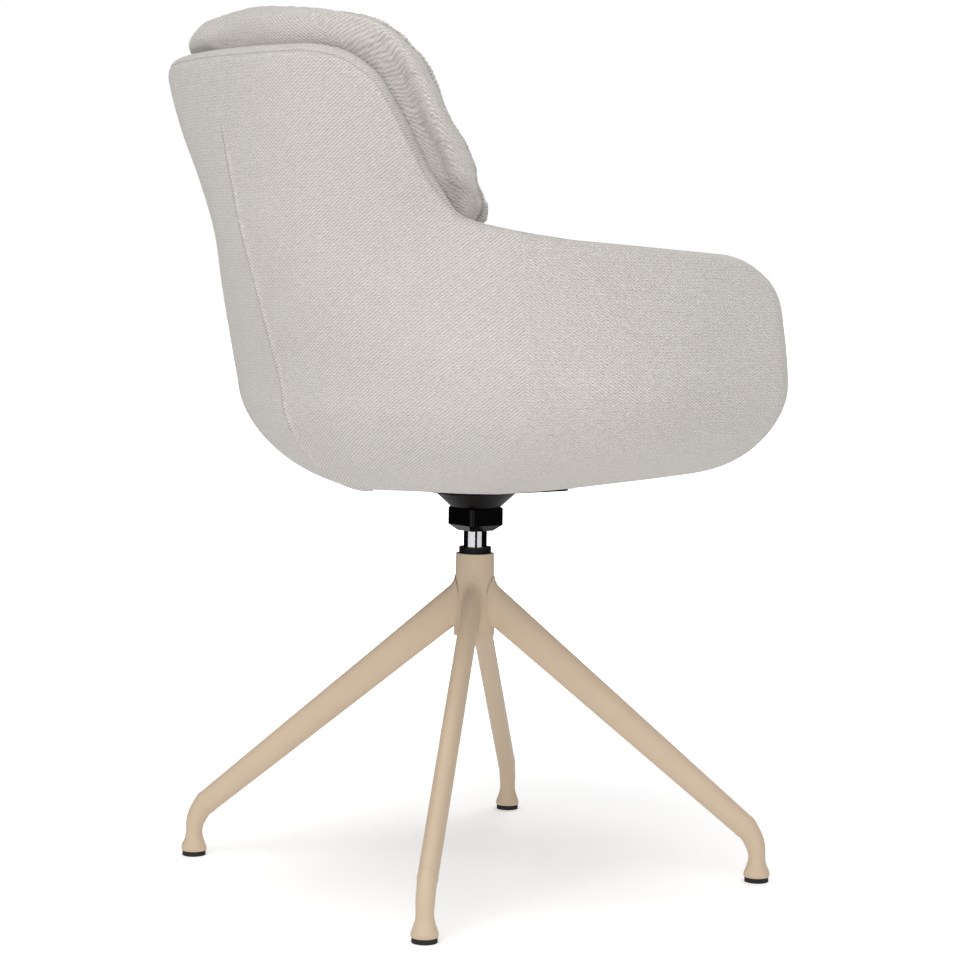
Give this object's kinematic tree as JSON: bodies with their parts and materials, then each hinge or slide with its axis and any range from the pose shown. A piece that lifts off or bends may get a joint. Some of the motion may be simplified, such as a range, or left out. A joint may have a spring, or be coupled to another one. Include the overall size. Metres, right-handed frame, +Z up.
{
  "type": "swivel dining chair",
  "caption": "Swivel dining armchair: upholstered bucket shell with loose back cushion and seat pad, on a spindle turning in a splayed tubular steel base with floor glides.",
  "frame": {"origin": "on the floor, on the swivel axis, midway between the four feet", "axes": "+Z up; a sitter faces -Y; +X is the sitter's left"},
  "size_m": [0.5804, 0.5419, 0.8491],
  "materials": {
    "beige_powder_coat": "fine matt powder coat",
    "black_plastic": "satin moulded",
    "acetal": "smooth",
    "chrome": "bright chrome plate",
    "zinc_steel": "zinc plated",
    "black_steel": "satin black paint",
    "black_nonwoven": "matt",
    "plywood": "unfinished",
    "upholstery": "fine matt twill",
    "black_rubber": "matt"
  },
  "bodies": {
    "base": {"base_hub": "beige_powder_coat", "leg_front_left": "beige_powder_coat", "leg_front_right": "beige_powder_coat", "leg_rear_left": "beige_powder_coat", "leg_rear_right": "beige_powder_coat", "glide_front_left": "black_rubber", "glide_front_right": "black_rubber", "glide_rear_left": "black_rubber", "glide_rear_right": "black_rubber", "top_bush": "black_plastic", "lower_bush": "acetal", "thrust_washer": "acetal", "hub_cap": "black_plastic"},
    "seat": {"spindle": "chrome", "retaining_washer": "zinc_steel", "retaining_screw": "zinc_steel", "swivel_block": "black_steel", "dish_cover": "black_plastic", "seat_plate": "black_steel", "dust_cover": "black_nonwoven", "lower_spacer": "plywood", "shell_core": "plywood", "upper_spacer": "plywood", "seat_board": "plywood", "seat_bolts": "zinc_steel", "tee_nuts": "zinc_steel", "padded_wall_left": "upholstery", "padded_wall_right": "upholstery", "seat_cushion": "upholstery", "back_cushion": "upholstery"}
  },
  "joints": [
    {"name": "seat_swivel", "type": "hinge", "parent": "base", "child": "seat", "pos_m": [0, 0, 0.3], "axis": [0, 0, 1], "continuous": true}
  ]
}
